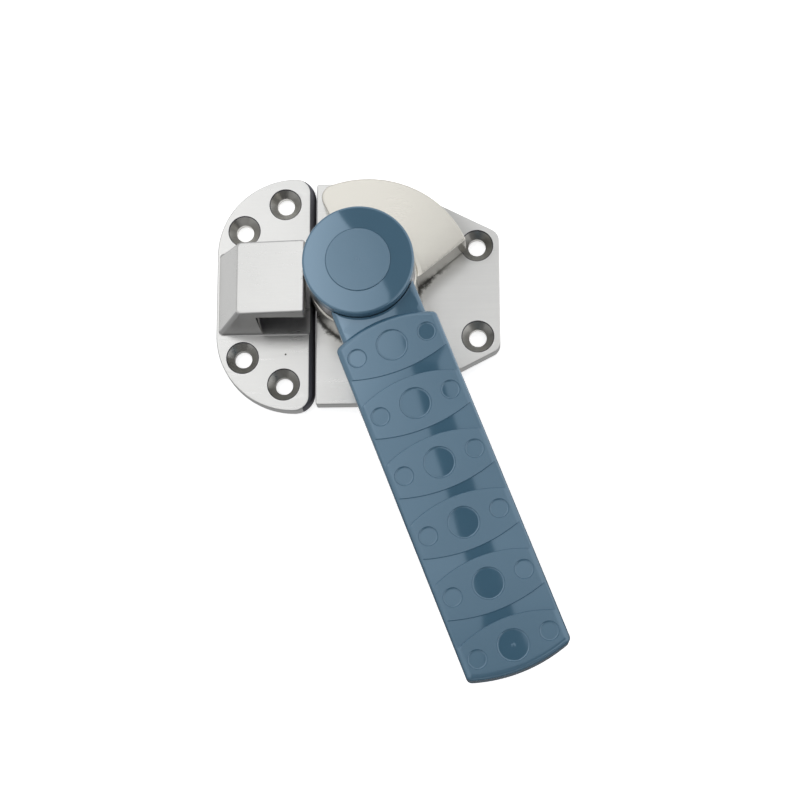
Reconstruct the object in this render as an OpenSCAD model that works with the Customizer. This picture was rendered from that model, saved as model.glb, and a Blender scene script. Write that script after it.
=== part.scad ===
// Oven door latch: a wedge cam on a fixed post, turned by a long grip, that
// draws a door shut under the hood of a keeper.
//
// Millimetres, +Z up. The latch lies on its back as it is fitted: Z = 0 is the
// back of both castings and the post stands on the Z axis. The keeper is on
// the -X side. Shown with the handle turned to open.

/* [Castings] */
// Thickness of the base plate and of the keeper's plate
plate_t = 6; // [5.8:0.1:8]
// Narrow bevel round the front edges of both plates
edge_bevel = 0.4; // [0.1:0.1:0.8]
// Gap between the two castings as fitted
door_gap = 0.6; // [0.4:0.1:3]

/* [Base plate] */
// Distance from the post to the plate's edge beside the keeper
base_left = 19.8; // [19:0.1:20]
// Distance from the post to the far edge
base_right = 53.5; // [51:0.5:60]
// Height of the plate along the keeper
base_h = 91.4; // [88:0.2:100]
// Height of the far edge between its sloping corners
base_far_h = 48; // [46:0.2:60]
// Where the sloping corners start
base_slope_x = 11; // [6:0.5:14]
// Radius of the far corners
base_corner_r = 5; // [2:0.5:8]

/* [Keeper] */
// Width of the keeper's plate
keeper_w = 39.4; // [39.1:0.1:42]
// Height of the keeper's plate
keeper_h = 96.2; // [92:0.2:100]
// Radius of the two large outer corners
keeper_round_r = 31.4; // [24:0.2:31.4]
// Radius of the two corners beside the base plate
keeper_corner_r = 8; // [5:0.5:8]
// Rounding of the front edge beside the base plate
keeper_lip_r = 2.6; // [1:0.2:3]

/* [Hood] */
// Height of the hood above the plate at its back
hood_h = 23; // [22:0.5:27]
// Rise of the hood's top from its back to its open end
hood_rise = 2.6; // [0:0.2:4]
// Height of the hood's foot, along the door
hood_foot = 33.4; // [32:0.2:38]
// Height of the hood's top face
hood_top = 29.2; // [24:0.2:31]
// How far the back of the hood leans in at the top
hood_lean = 9.8; // [6:0.2:10]
// Distance of the hood's back from the outer edge of the keeper's plate
hood_back = 0.9; // [0.5:0.1:2]
// Gap between the open end of the hood and the turning hub
hood_hub_gap = 1; // [1:0.1:2]
// Rounding of the hood's back corners
hood_corner_r = 2; // [1:0.25:3]
// Radius of the fillet round the hood's foot
hood_foot_r = 1; // [0.6:0.2:2]
// Height of the raised pad under the hood
pad_h = 0.5; // [0.3:0.05:0.55]
// Clearance between the cam's rim and the back of the slot
slot_rim_gap = 0.8; // [0.8:0.1:2]
// Clearance between the cam's top and the hood's roof
roof_gap = 4; // [0.3:0.1:4.5]

/* [Screw holes] */
// Clear hole for a mounting screw
screw_hole_d = 7; // [6.4:0.1:7.4]
// Diameter of the countersink at the face
csk_d = 13; // [12:0.2:13.6]
// Distance from the post to the base plate's far holes
base_far_x = 44.6; // [42:0.1:45]
// Spacing of the base plate's far holes
base_far_spacing = 37.6; // [34:0.2:39]
// Distance from the post to the base plate's near holes
base_near_x = 5.7; // [3:0.1:8]
// Spacing of the base plate's near holes
base_near_spacing = 72.6; // [70:0.2:76]
// Distance from the post to the keeper's inner holes
keeper_inner_x = 32.6; // [32:0.1:34]
// Spacing of the keeper's inner holes
keeper_inner_spacing = 74.7; // [72:0.1:76]
// Distance from the post to the keeper's outer holes
keeper_outer_x = 49.1; // [48.6:0.1:49.8]
// Spacing of the keeper's outer holes
keeper_outer_spacing = 52.6; // [51.6:0.1:54]

/* [Post and bearings] */
// Diameter of the post
post_d = 16; // [14:0.5:16]
// Diameter of the post's flange, let into the back of the plate
post_flange_d = 24; // [20:0.5:24.5]
// Thickness of the post's flange
post_flange_t = 3; // [2:0.25:3.5]
// Wall of the bearing bushes
bush_wall = 2.4; // [1.6:0.1:2.6]
// Length of each bush
bush_l = 10; // [7:0.5:10.5]
// Running clearance between bush and post
run_fit = 0.04; // [0.02:0.01:0.08]
// Clearance of pieces that are pressed or dropped into a seat
seat_fit = 0.02; // [0.01:0.01:0.05]
// Thickness of the thrust washer under the cam
thrust_t = 0.9; // [0.85:0.05:1.2]
// Width of the thrust washer's face
thrust_face = 4; // [3:0.2:4.2]

/* [Cam] */
// Radius of the cam's rim
cam_r = 43.7; // [42:0.1:44.5]
// Diameter of the cam's hub and of the handle's hub above it
hub_d = 42.4; // [41:0.2:43]
// Height of the cam's hub top above the plate
hub_top = 24; // [23:0.5:26]
// Height of the wedge at its thin leading tip, above the plate
ramp_low = 10.5; // [6:0.5:13]
// Height of the wedge at its thick end, above the plate
ramp_high = 15.4; // [14:0.1:15.8]
// Direction of the leading tip, with the handle open
tip_a = 115.5; // [108:0.5:118]
// Direction of the thick end's outer corner, with the handle open
heel_a = 22.7; // [20:0.5:26]
// Direction of the thick end's straight face
heel_face_a = 39.3; // [36:0.5:44]
// Rounding of the leading tip in plan
tip_r = 5; // [3:0.5:7]
// Radius of the fillet between the wedge and the hub
cam_fillet_r = 2.4; // [1:0.2:3]

/* [Turning stop] */
// Turn of the handle from open to closed
travel = 135; // [90:1:140]
// Diameter of the stop pin
stop_d = 5; // [4:0.25:5]
// Distance of the stop pin from the post's axis
stop_r = 15.5; // [15:0.1:15.7]
// Depth of the arc slot in the cam
stop_slot_h = 5.5; // [4:0.25:7]
// Clearance round the stop pin in its slot
stop_gap = 0.3; // [0.2:0.05:0.5]

/* [Handle] */
// Direction of the handle when open
handle_a = -68.7; // [-72:0.1:-64]
// Height of the groove between the cam's hub and the handle's hub
groove_h = 7; // [5.5:0.5:7.5]
// Depth of that groove
groove_depth = 2.4; // [1.5:0.1:2.6]
// Height of the handle's hub ring
ring_h = 9; // [8.5:0.25:11]
// Floor of the handle's hub
floor_t = 5; // [4:0.25:5.5]
// Bore of the handle's hub above its floor
cup_d = 34; // [33:0.25:35]
// Width of the steel bar inside the grip
bar_w = 22; // [18:0.5:24]
// Thickness of the steel bar
bar_t = 7; // [5:0.25:8]
// Reach of the steel bar from the post's axis
bar_reach = 150; // [140:1:155]
// Diameter of the two drive dowels
dowel_d = 4; // [3:0.25:4]
// Length of a drive dowel
dowel_l = 13.5; // [12:0.1:13.6]
// How far the dowels end below the floor of the handle's hub
dowel_sink = 0.3; // [0.2:0.1:1]
// Distance of the drive dowels from the post's axis
dowel_r = 14; // [13.5:0.1:14.2]

/* [Grip] */
// Width of the grip
grip_w = 40.4; // [38:0.2:44]
// Width of the neck
neck_w = 33.3; // [30:0.1:35]
// Radius of the grip's curved ends and of the curved bands
band_r = 45.4; // [42:0.2:60]
// Spacing of the bands along the grip
band_pitch = 24.1; // [22.5:0.1:25]
// Distance from the post to the first band's middle
band_first = 34.3; // [33.5:0.1:36]
// Half the width of a band on the centreline
band_half = 10.5; // [9:0.1:10.5]
// How far the grip ends inside the last band's edge
end_trim = 0.8; // [0.2:0.1:1.5]
// Number of bands
band_count = 6; // [4:1:6]
// Height of the bands above the strips between them
band_h = 0.4; // [0.2:0.05:0.8]
// Diameter of the dimple in the middle of a band
dimple_d = 12; // [9:0.25:13]
// Diameter of the two small dimples of a band
small_dimple_d = 7.2; // [5:0.2:8]
// Distance of a small dimple from the centreline
small_dimple_y = 14; // [12.5:0.1:14.2]
// Depth of the dimples
dimple_depth = 0.6; // [0.3:0.05:1]
// Rounding of the grip's corners in plan
grip_corner_r = 3; // [1.5:0.25:5]
// Thickness of the grip
grip_t = 21; // [20:0.2:26]
// Height of the grip's face above the neck's
grip_step = 1.4; // [0.6:0.1:2.5]
// Rounding of the grip's front edges
grip_edge_r = 3.6; // [2:0.2:4.5]
// Rounding of the grip's back edges
grip_back_r = 7; // [4:0.25:8]
// Thickness of the neck
neck_t = 18; // [16:0.25:19]
// Rounding of the neck's edges
neck_edge_r = 1.6; // [0.6:0.2:2.5]
// Clearance between the grip and the steel in it
grip_fit = 0.1; // [0.05:0.05:0.2]
// Gap between the neck's end and the hub
neck_gap = 0.3; // [0.1:0.05:0.6]

/* [Hub cap] */
// Height of the cap above the handle's hub
cap_h = 6; // [5.5:0.25:7]
// Rounding of the cap's front edge
cap_edge_r = 0.9; // [0.3:0.1:1.5]
// Thickness of the cap's top
cap_t = 2.4; // [2:0.1:2.6]
// Diameter of the round plug in the cap
plug_d = 24.6; // [22:0.2:27]
// How far the plug stands proud of the cap
plug_proud = 0.3; // [0.1:0.05:0.6]
// Depth of the cap's spigot in the hub
spigot_h = 3.5; // [3:0.1:3.7]
// Wall of the cap's spigot
spigot_wall = 2.4; // [2.2:0.1:2.8]
// Cord diameter of the rubber ring that holds the cap
ring_cord_d = 1.4; // [1.2:0.1:1.6]

/* [Retaining stack] */
// Thickness of the bronze washer under the disc springs
top_washer_t = 1.5; // [1:0.1:1.6]
// Thickness of one disc spring's sheet
spring_t = 1.1; // [0.9:0.05:1.2]
// Cone height of one disc spring
spring_cone = 0.4; // [0.2:0.05:0.5]
// Outer diameter of the disc springs
spring_d = 31.5; // [28:0.25:31.8]
// Thickness of the retaining washer
cover_t = 2.5; // [2:0.1:2.6]
// Outer diameter of the retaining washer
cover_d = 28; // [24:0.25:29]
// Thickness of the spring lock washer
lock_t = 1.6; // [1.2:0.1:1.8]
// Thread diameter of the retaining screw
screw_d = 8; // [6:0.5:8]
// Head diameter of the retaining screw
screw_head_d = 13; // [12:0.25:14]
// Head height of the retaining screw
screw_head_h = 5; // [4:0.1:5.2]
// Length of the retaining screw's thread
screw_l = 28; // [20:0.5:30]
// Key size of the retaining screw's socket
screw_key = 6; // [5:0.5:6]

/* [Grip fasteners] */
// Thread diameter of the grip screws
grip_screw_d = 4; // [3:0.25:4]
// Head diameter of the grip screws
grip_head_d = 7.4; // [6.5:0.1:8]
// Head height of the grip screws
grip_head_h = 2.6; // [2:0.1:3]
// How deep the heads sit in the back of the grip
grip_head_sink = 2; // [1:0.1:3]
// Outer diameter of the threaded inserts
insert_d = 5.6; // [5.2:0.1:6.4]
// Length of the threaded inserts
insert_l = 4.5; // [3.5:0.1:4.7]

/* [Hidden] */

$fn = 96;
eps = 0.01;
cut = 1;

// heights, from the back of the plates up
face_z = plate_t;
cam_z = face_z + thrust_t;
hub_z = face_z + hub_top;
ring_z = hub_z + groove_h;
rim_z = ring_z + ring_h;
floor_z = hub_z + floor_t;
dowel_z = floor_z - dowel_sink - dowel_l;
cap_z = rim_z + cap_h;
neck_top_z = rim_z + 1;
neck_low_z = neck_top_z - neck_t;
grip_top_z = neck_top_z + grip_step;
grip_low_z = grip_top_z - grip_t;
bar_z = ring_z - 2.5;
split_z = bar_z + bar_t / 2;
springs_z = floor_z + top_washer_t;
cover_z = springs_z + 2 * (spring_t + spring_cone);
lock_z = cover_z + cover_t;
head_z = lock_z + lock_t;

// radii
hub_r = hub_d / 2;
post_r = post_d / 2;
bush_r = post_r + run_fit + bush_wall;
slot_r = cam_r + slot_rim_gap;
spigot_r = cup_d / 2 - seat_fit;

// keeper, from its edge beside the base plate outwards
keeper_right = -base_left - door_gap;
keeper_left = keeper_right - keeper_w;
hood_right = -hub_r - hood_hub_gap;
hood_left = keeper_left + hood_back;
roof_z = face_z + ramp_high + roof_gap;

// grip, along its own centreline
grip_start = band_first - band_half;
grip_end = band_first + (band_count - 1) * band_pitch + band_half - end_trim;
grip_screw_x = [band_first + 1.5 * band_pitch, band_first + (band_count - 2.5) * band_pitch];

corner_steps = 14;

function unit(v) = v / norm(v);

// Points of an arc that rounds the corner b between a and c
function corner(a, b, c, r) =
    let (u = unit(a - b),
         v = unit(c - b),
         half = acos(u * v) / 2,
         centre = b + unit(u + v) * r / sin(half),
         p = b + u * r / tan(half),
         start = atan2(p.y - centre.y, p.x - centre.x),
         turn = (180 - 2 * half) * sign(cross(b - a, c - b)))
    [for (i = [0:corner_steps])
        let (t = start + turn * i / corner_steps)
        centre + r * [cos(t), sin(t)]];

// A closed outline with each corner rounded by its own radius
function rounded(pts, radii) =
    let (n = len(pts))
    [for (i = [0:n - 1]) each corner(pts[(i + n - 1) % n], pts[i], pts[(i + 1) % n], radii[i])];

// A flat plate with a narrow bevel round its front edge
module bevelled_plate(outline, t, bevel) {
    hull() {
        linear_extrude(t - bevel) polygon(outline);
        linear_extrude(t) offset(delta = -bevel) polygon(outline);
    }
}

// Cutter for a countersunk screw hole, from the front face down
module csk_hole() {
    cone_h = (csk_d - screw_hole_d) / 2;
    translate([0, 0, -cut]) cylinder(d = screw_hole_d, h = plate_t + 2 * cut);
    translate([0, 0, plate_t - cone_h]) cylinder(d1 = screw_hole_d, d2 = csk_d, h = cone_h);
    translate([0, 0, plate_t - eps]) cylinder(d = csk_d, h = cut);
}

// A pair of countersunk holes, one each side of the X axis
module csk_pair(x, spacing) {
    for (side = [-1, 1]) translate([x, side * spacing / 2, 0]) csk_hole();
}

// A round washer or sleeve standing on z
module sleeve(r_in, r_out, z, h) {
    translate([0, 0, z]) difference() {
        cylinder(r = r_out, h = h);
        translate([0, 0, -cut]) cylinder(r = r_in, h = h + 2 * cut);
    }
}

function base_outline() =
    rounded([[-base_left, -base_h / 2], [base_slope_x, -base_h / 2],
             [base_right, -base_far_h / 2], [base_right, base_far_h / 2],
             [base_slope_x, base_h / 2], [-base_left, base_h / 2]],
            [0.8, 3, base_corner_r, base_corner_r, 3, 0.8]);

module base_plate() {
    color("gainsboro") difference() {
        bevelled_plate(base_outline(), plate_t, edge_bevel);
        csk_pair(base_far_x, base_far_spacing);
        csk_pair(base_near_x, base_near_spacing);
        translate([0, 0, -cut]) cylinder(r = post_r + seat_fit, h = plate_t + 2 * cut);
        translate([0, 0, -cut]) cylinder(d = post_flange_d + 2 * seat_fit, h = post_flange_t + cut);
        translate([0, -stop_r, -cut]) cylinder(d = stop_d + 2 * seat_fit, h = plate_t + 2 * cut);
    }
}

// Outline of the keeper's plate, drawn in by e all round and by lip at the edge
// beside the base plate
function keeper_outline(e, lip) =
    let (left = keeper_left + e, right = keeper_right - max(e, lip), half = keeper_h / 2 - e,
         corner_r = keeper_corner_r - max(e, lip))
    rounded([[left, -half], [right, -half], [right, half], [left, half]],
            [keeper_round_r - e, corner_r, corner_r, keeper_round_r - e]);

// The keeper's plate, as slices that draw in towards the face
module keeper_plate() {
    steps = 5;
    hull() {
        linear_extrude(plate_t - keeper_lip_r) polygon(keeper_outline(0, 0));
        for (i = [1:steps])
            let (t = 90 * i / steps, z = plate_t - keeper_lip_r * (1 - sin(t)))
            translate([0, 0, z - eps]) linear_extrude(eps)
                polygon(keeper_outline(max(0, z - plate_t + edge_bevel), keeper_lip_r * (1 - cos(t))));
    }
}

// Outline of the hood at a share s of its height, grown by g
function hood_outline(s, g = 0) =
    let (half = (hood_foot + (hood_top - hood_foot) * s) / 2 + g,
         back = hood_left + hood_lean * s)
    rounded([[back, -half], [hood_right, -half], [hood_right, half], [back, half]],
            [hood_corner_r, 1, 1, hood_corner_r]);

// A thin slice that rises from z at the hood's back towards its open end
module hood_slope(z) {
    rise = hood_rise / (hood_right - hood_left - hood_lean);
    multmatrix([[1, 0, 0, 0], [0, 1, 0, 0],
                [rise, 0, 1, z - rise * (hood_left + hood_lean)], [0, 0, 0, 1]])
        linear_extrude(eps) children();
}

// The drafted block of the hood, solid, from inside the plate up
module hood_block() {
    soft = 0.8;
    hull() {
        translate([0, 0, plate_t - 1]) linear_extrude(1) polygon(hood_outline(0));
        hood_slope(plate_t + hood_h - soft) polygon(hood_outline(1 - soft / hood_h));
        hood_slope(plate_t + hood_h - eps) offset(delta = -soft) polygon(hood_outline(1));
    }
}

// The fillet at the hood's foot, as a sloping skirt
module hood_skirt() {
    hull() {
        translate([0, 0, plate_t - 1]) linear_extrude(1) polygon(hood_outline(0, hood_foot_r));
        translate([0, 0, plate_t + hood_foot_r]) linear_extrude(eps)
            polygon(hood_outline(hood_foot_r / hood_h));
    }
}

module keeper() {
    color("silver") difference() {
        union() {
            keeper_plate();
            hood_block();
            hood_skirt();
        }
        translate([0, 0, face_z + pad_h]) cylinder(r = slot_r, h = roof_z - face_z - pad_h);
        csk_pair(-keeper_inner_x, keeper_inner_spacing);
        csk_pair(-keeper_outer_x, keeper_outer_spacing);
    }
}

module pivot_post() {
    color("lightgrey") difference() {
        union() {
            cylinder(d = post_flange_d, h = post_flange_t);
            cylinder(r = post_r, h = cover_z);
        }
        translate([0, 0, head_z - screw_l - 2]) cylinder(d = screw_d, h = screw_l + 2);
    }
}

module stop_pin() {
    color("dimgrey") translate([0, -stop_r, 0.5]) union() {
        cylinder(d = stop_d, h = cam_z + stop_slot_h - 1.2 - 0.5);
        translate([0, 0, cam_z + stop_slot_h - 1.2 - 0.5])
            cylinder(d1 = stop_d, d2 = stop_d - 1.2, h = 0.6);
    }
}

module thrust_washer() {
    color("darkslategrey")
        sleeve(post_r + 0.2, post_r + 0.2 + thrust_face, face_z, thrust_t);
}

// Height of the wedge's top above the plate, in direction a
function ramp(a) = ramp_low + (ramp_high - ramp_low) * min(1, (tip_a - a) / (tip_a - heel_a));

// Cross-section of the wedge in direction a: radius and height, with a fillet
// up the hub's side
function wedge_section(a) =
    let (top = face_z + ramp(a), rf = cam_fillet_r)
    concat(
        [[hub_r - 3, cam_z], [cam_r + 2, cam_z], [cam_r + 2, top]],
        [for (i = [0:4]) let (t = 90 * i / 4)
            [hub_r - 0.1 + rf * (1 - sin(t)), top + rf * (1 - cos(t))]],
        [[hub_r - 3, top + rf]]);

// The wedge: its cross-sections carried round the axis between the directions
// a0 and a1
module wedge(a0, a1) {
    steps = 36;
    rings = [for (i = [0:steps])
        let (a = a0 + (a1 - a0) * i / steps)
        [for (p = wedge_section(a)) [p.x * cos(a), p.x * sin(a), p.y]]];
    m = len(rings[0]);
    polyhedron(
        points = [for (ring = rings) each ring],
        faces = concat(
            [[for (j = [0:m - 1]) m - 1 - j]],
            [[for (j = [0:m - 1]) steps * m + j]],
            [for (i = [0:steps - 1], j = [0:m - 1])
                let (k = (j + 1) % m)
                each [[i * m + j, (i + 1) * m + k, (i + 1) * m + j],
                      [i * m + j, i * m + k, (i + 1) * m + k]]]),
        convexity = 6);
}

// Plan of the sector that the wedge fills: a straight thick end, a rounded tip
module sector_plan() {
    far = cam_r * 1.6;
    heel = cam_r * [cos(heel_a), sin(heel_a)];
    along = [cos(heel_face_a), sin(heel_face_a)];
    rest = [[cos(60), sin(60)] * far, [cos(100), sin(100)] * far, [cos(tip_a), sin(tip_a)] * far];
    intersection() {
        offset(r = tip_r) offset(delta = -tip_r) intersection() {
            circle(r = cam_r, $fn = 180);
            polygon(concat([[0, 0], [far, 0]], rest));
        }
        polygon(concat([[0, 0], heel - along * (cam_r - hub_r + 6), heel + along * 8], rest));
    }
}

module cam() {
    color("beige") difference() {
        union() {
            translate([0, 0, cam_z]) cylinder(r = hub_r, h = hub_top - thrust_t - 0.6);
            translate([0, 0, hub_z - 0.6]) cylinder(r1 = hub_r, r2 = hub_r - 0.6, h = 0.6);
            intersection() {
                wedge(heel_a - 30, tip_a + 4);
                translate([0, 0, cam_z - cut]) linear_extrude(hub_top) sector_plan();
            }
        }
        translate([0, 0, cam_z - cut]) cylinder(r = bush_r + seat_fit, h = hub_top + 2 * cut);
        stop_slot();
        for (side = [-1, 1]) rotate([0, 0, handle_a + side * 90])
            translate([dowel_r, 0, dowel_z - 0.2])
                cylinder(d = dowel_d + 2 * seat_fit, h = hub_z - dowel_z + 0.2 + cut);
    }
}

// Arc slot in the cam's underside, in which the stop pin travels
module stop_slot() {
    w = stop_d + 2 * stop_gap;
    end_a = asin(w / 2 / stop_r);
    translate([0, 0, cam_z - cut]) rotate([0, 0, -90 - travel - end_a])
        rotate_extrude(angle = travel + 2 * end_a)
            translate([stop_r - w / 2, 0]) square([w, stop_slot_h + cut]);
}

module lower_bush() {
    color("peru") sleeve(post_r + run_fit, bush_r, cam_z, bush_l);
}

module upper_bush() {
    color("peru") sleeve(post_r + run_fit, bush_r, hub_z - bush_l, bush_l);
}

module drive_dowels() {
    color("dimgrey") for (side = [-1, 1]) rotate([0, 0, handle_a + side * 90])
        translate([dowel_r, 0, dowel_z]) cylinder(d = dowel_d, h = dowel_l);
}

// The steel bar that carries the grip, in the handle's own direction
module bar(grow) {
    half = bar_w / 2 + grow;
    translate([hub_r - 4, -half, bar_z - grow])
        cube([bar_reach - half - hub_r + 4 + grow, 2 * half, bar_t + 2 * grow]);
    translate([bar_reach - half + grow, 0, bar_z - grow]) cylinder(r = half, h = bar_t + 2 * grow);
}

module handle_core() {
    color("silver") rotate([0, 0, handle_a]) difference() {
        union() {
            translate([0, 0, hub_z]) cylinder(r = hub_r - groove_depth, h = groove_h);
            translate([0, 0, ring_z]) cylinder(r = hub_r, h = ring_h);
            bar(0);
        }
        translate([0, 0, floor_z]) cylinder(d = cup_d, h = rim_z - floor_z + cut);
        translate([0, 0, hub_z - cut]) cylinder(r = post_r + 0.3, h = floor_t + 2 * cut);
        for (side = [-1, 1]) translate([0, side * dowel_r, hub_z - cut])
            cylinder(d = dowel_d + 2 * seat_fit, h = floor_t + 2 * cut);
        for (x = grip_screw_x) translate([x, 0, bar_z - cut])
            cylinder(d = grip_screw_d + 0.4, h = bar_t + 2 * cut);
    }
}

module top_washer() {
    color("peru") sleeve(post_r + 0.3, spring_d / 2, floor_z, top_washer_t);
}

// Two disc springs, back to back, touching at their rims
module disc_springs() {
    r_in = post_r + 0.15;
    r_out = spring_d / 2;
    h = spring_t + spring_cone;
    section = [[r_in, 0], [r_out, spring_cone], [r_out, h], [r_in, spring_t]];
    color("slategrey") {
        translate([0, 0, springs_z]) rotate_extrude() polygon(section);
        translate([0, 0, springs_z + 2 * h]) mirror([0, 0, 1]) rotate_extrude() polygon(section);
    }
}

module retaining_washer() {
    color("lightgrey") sleeve(screw_d / 2 + 0.2, cover_d / 2, cover_z, cover_t);
}

module lock_washer() {
    color("dimgrey") difference() {
        sleeve(screw_d / 2 + 0.1, screw_d / 2 + 3, lock_z, lock_t);
        translate([screw_d / 2 - 1, 0, lock_z - cut]) rotate([0, 0, 20])
            translate([0, -0.5, 0]) cube([6, 1, lock_t + 2 * cut]);
    }
}

module retaining_screw() {
    color("grey") difference() {
        union() {
            translate([0, 0, head_z]) cylinder(d = screw_head_d, h = screw_head_h - 0.5);
            translate([0, 0, head_z + screw_head_h - 0.5])
                cylinder(d1 = screw_head_d, d2 = screw_head_d - 1, h = 0.5);
            translate([0, 0, head_z - screw_l]) cylinder(d = screw_d - 2 * seat_fit, h = screw_l + eps);
        }
        translate([0, 0, head_z + screw_head_h - 3])
            cylinder(d = screw_key / cos(30), h = 3 + cut, $fn = 6);
    }
}

// Plan of the grip: straight sides, both ends bowed outwards
module grip_body_plan() {
    half = grip_w / 2;
    arc_a = asin(half / band_r);
    steps = 16;
    offset(r = grip_corner_r, $fn = 32) offset(delta = -grip_corner_r) polygon(concat(
        [for (i = [0:steps]) let (t = 180 + arc_a - 2 * arc_a * i / steps)
            [grip_start + band_r + band_r * cos(t), band_r * sin(t)]],
        [for (i = [0:steps]) let (t = arc_a - 2 * arc_a * i / steps)
            [grip_end - band_r + band_r * cos(t), band_r * sin(t)]]));
}

// A plan with its edge rounded by r at the end away from z = 0, h tall
module cushion(h, r) {
    steps = 5;
    hull() for (i = [0:steps])
        let (t = 90 * i / steps)
        translate([0, 0, i == 0 ? 0 : h - r + r * sin(t) - eps])
            linear_extrude(i == 0 ? h - r : eps) offset(delta = -r * (1 - cos(t))) children();
}

module neck_plan() {
    translate([hub_r - 6, -neck_w / 2]) square([grip_start - hub_r + 14, neck_w]);
}

// The lens-shaped bands across the grip
module band_plan() {
    for (i = [0:band_count - 1])
        translate([band_first + i * band_pitch, 0]) intersection() {
            translate([band_r - band_half, 0]) circle(r = band_r, $fn = 180);
            translate([band_half - band_r, 0]) circle(r = band_r, $fn = 180);
        }
}

module dimples() {
    for (i = [0:band_count - 1])
        translate([band_first + i * band_pitch, 0, grip_top_z - dimple_depth]) {
            cylinder(d = dimple_d, h = dimple_depth + cut);
            for (side = [-1, 1]) translate([0, side * small_dimple_y, 0])
                cylinder(d = small_dimple_d, h = dimple_depth + cut);
        }
}

module grip_front() {
    color("steelblue") rotate([0, 0, handle_a]) difference() {
        union() {
            translate([0, 0, split_z]) cushion(grip_top_z - split_z, grip_edge_r) grip_body_plan();
            translate([0, 0, split_z]) cushion(neck_top_z - split_z, neck_edge_r) neck_plan();
        }
        translate([0, 0, grip_top_z - band_h]) linear_extrude(band_h + cut) difference() {
            translate([grip_start - cut, -grip_w]) square([grip_end - grip_start + 2 * cut, 2 * grip_w]);
            band_plan();
        }
        dimples();
        bar(grip_fit);
        cylinder(r = hub_r + neck_gap, h = cap_z + cut);
        for (x = grip_screw_x) translate([x, 0, split_z])
            cylinder(d = insert_d + 2 * seat_fit, h = bar_z + bar_t + grip_fit + insert_l + 0.3 - split_z);
    }
}

module grip_back() {
    color("steelblue") rotate([0, 0, handle_a]) difference() {
        union() {
            translate([0, 0, split_z]) mirror([0, 0, 1])
                cushion(split_z - grip_low_z, grip_back_r) grip_body_plan();
            translate([0, 0, split_z]) mirror([0, 0, 1])
                cushion(split_z - neck_low_z, neck_edge_r) neck_plan();
        }
        bar(grip_fit);
        cylinder(r = hub_r + neck_gap, h = cap_z + cut);
        for (x = grip_screw_x) translate([x, 0, grip_low_z - cut]) {
            cylinder(d = grip_screw_d + 0.4, h = grip_t);
            cylinder(d = grip_head_d + 0.6, h = grip_head_sink + grip_head_h + cut);
        }
    }
}

module grip_inserts() {
    color("goldenrod") rotate([0, 0, handle_a]) for (x = grip_screw_x) translate([x, 0, 0])
        sleeve(grip_screw_d / 2, insert_d / 2, bar_z + bar_t + grip_fit, insert_l);
}

module grip_screws() {
    head_bottom = grip_low_z + grip_head_sink;
    tip_z = bar_z + bar_t + grip_fit + insert_l - 0.5;
    color("lightgrey") rotate([0, 0, handle_a]) for (x = grip_screw_x) translate([x, 0, 0])
        difference() {
            union() {
                translate([0, 0, head_bottom]) cylinder(d = grip_head_d, h = grip_head_h);
                translate([0, 0, head_bottom]) cylinder(d = grip_screw_d - 2 * seat_fit, h = tip_z - head_bottom);
            }
            translate([0, 0, head_bottom - cut])
                cylinder(d = 2.5 / cos(30), h = 1.6 + cut, $fn = 6);
        }
}

module hub_cap() {
    bore_r = plug_d / 2 + seat_fit;
    ledge = 1.4;
    color("steelblue") difference() {
        union() {
            translate([0, 0, rim_z]) rotate_extrude() union() {
                square([hub_r - cap_edge_r, cap_h]);
                square([hub_r, cap_h - cap_edge_r]);
                translate([hub_r - cap_edge_r, cap_h - cap_edge_r]) circle(cap_edge_r);
            }
            translate([0, 0, rim_z - spigot_h]) cylinder(r = spigot_r, h = spigot_h + eps);
        }
        translate([0, 0, rim_z - spigot_h - cut])
            cylinder(r = spigot_r - spigot_wall, h = spigot_h + cap_h - cap_t + cut);
        translate([0, 0, cap_z - cap_t - cut]) cylinder(r = bore_r - ledge, h = cap_t + 2 * cut);
        translate([0, 0, cap_z - cap_t / 2]) cylinder(r = bore_r, h = cap_t);
        translate([0, 0, rim_z - spigot_h / 2 - ring_cord_d / 2 - 0.1])
            sleeve(cup_d / 2 - ring_cord_d - seat_fit, cup_d / 2 + cut, 0, ring_cord_d + 0.2);
    }
}

module cap_ring() {
    color("black") translate([0, 0, rim_z - spigot_h / 2]) rotate_extrude()
        translate([cup_d / 2 - ring_cord_d / 2, 0]) circle(d = ring_cord_d, $fn = 24);
}

module hub_plug() {
    ledge = 1.4;
    color("lightsteelblue") {
        translate([0, 0, cap_z - cap_t / 2]) cylinder(d = plug_d, h = cap_t / 2 + plug_proud);
        translate([0, 0, cap_z - cap_t]) cylinder(r = plug_d / 2 - ledge, h = cap_t / 2 + eps);
    }
}

base_plate();
keeper();
pivot_post();
stop_pin();
thrust_washer();
cam();
lower_bush();
upper_bush();
drive_dowels();
handle_core();
top_washer();
disc_springs();
retaining_washer();
lock_washer();
retaining_screw();
grip_front();
grip_back();
grip_inserts();
grip_screws();
hub_cap();
cap_ring();
hub_plug();
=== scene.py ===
# %% [markdown]
# This lesson dresses an oven door latch: two satin steel castings, a polished
# wedge cam and a long blue grip with pressed bands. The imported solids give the
# place and size of each part. They are loaded first, and each visible part
# then gets a finer surface and a finish of its own.

import bmesh
import bpy
import numpy as np
from mathutils import Matrix


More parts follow.
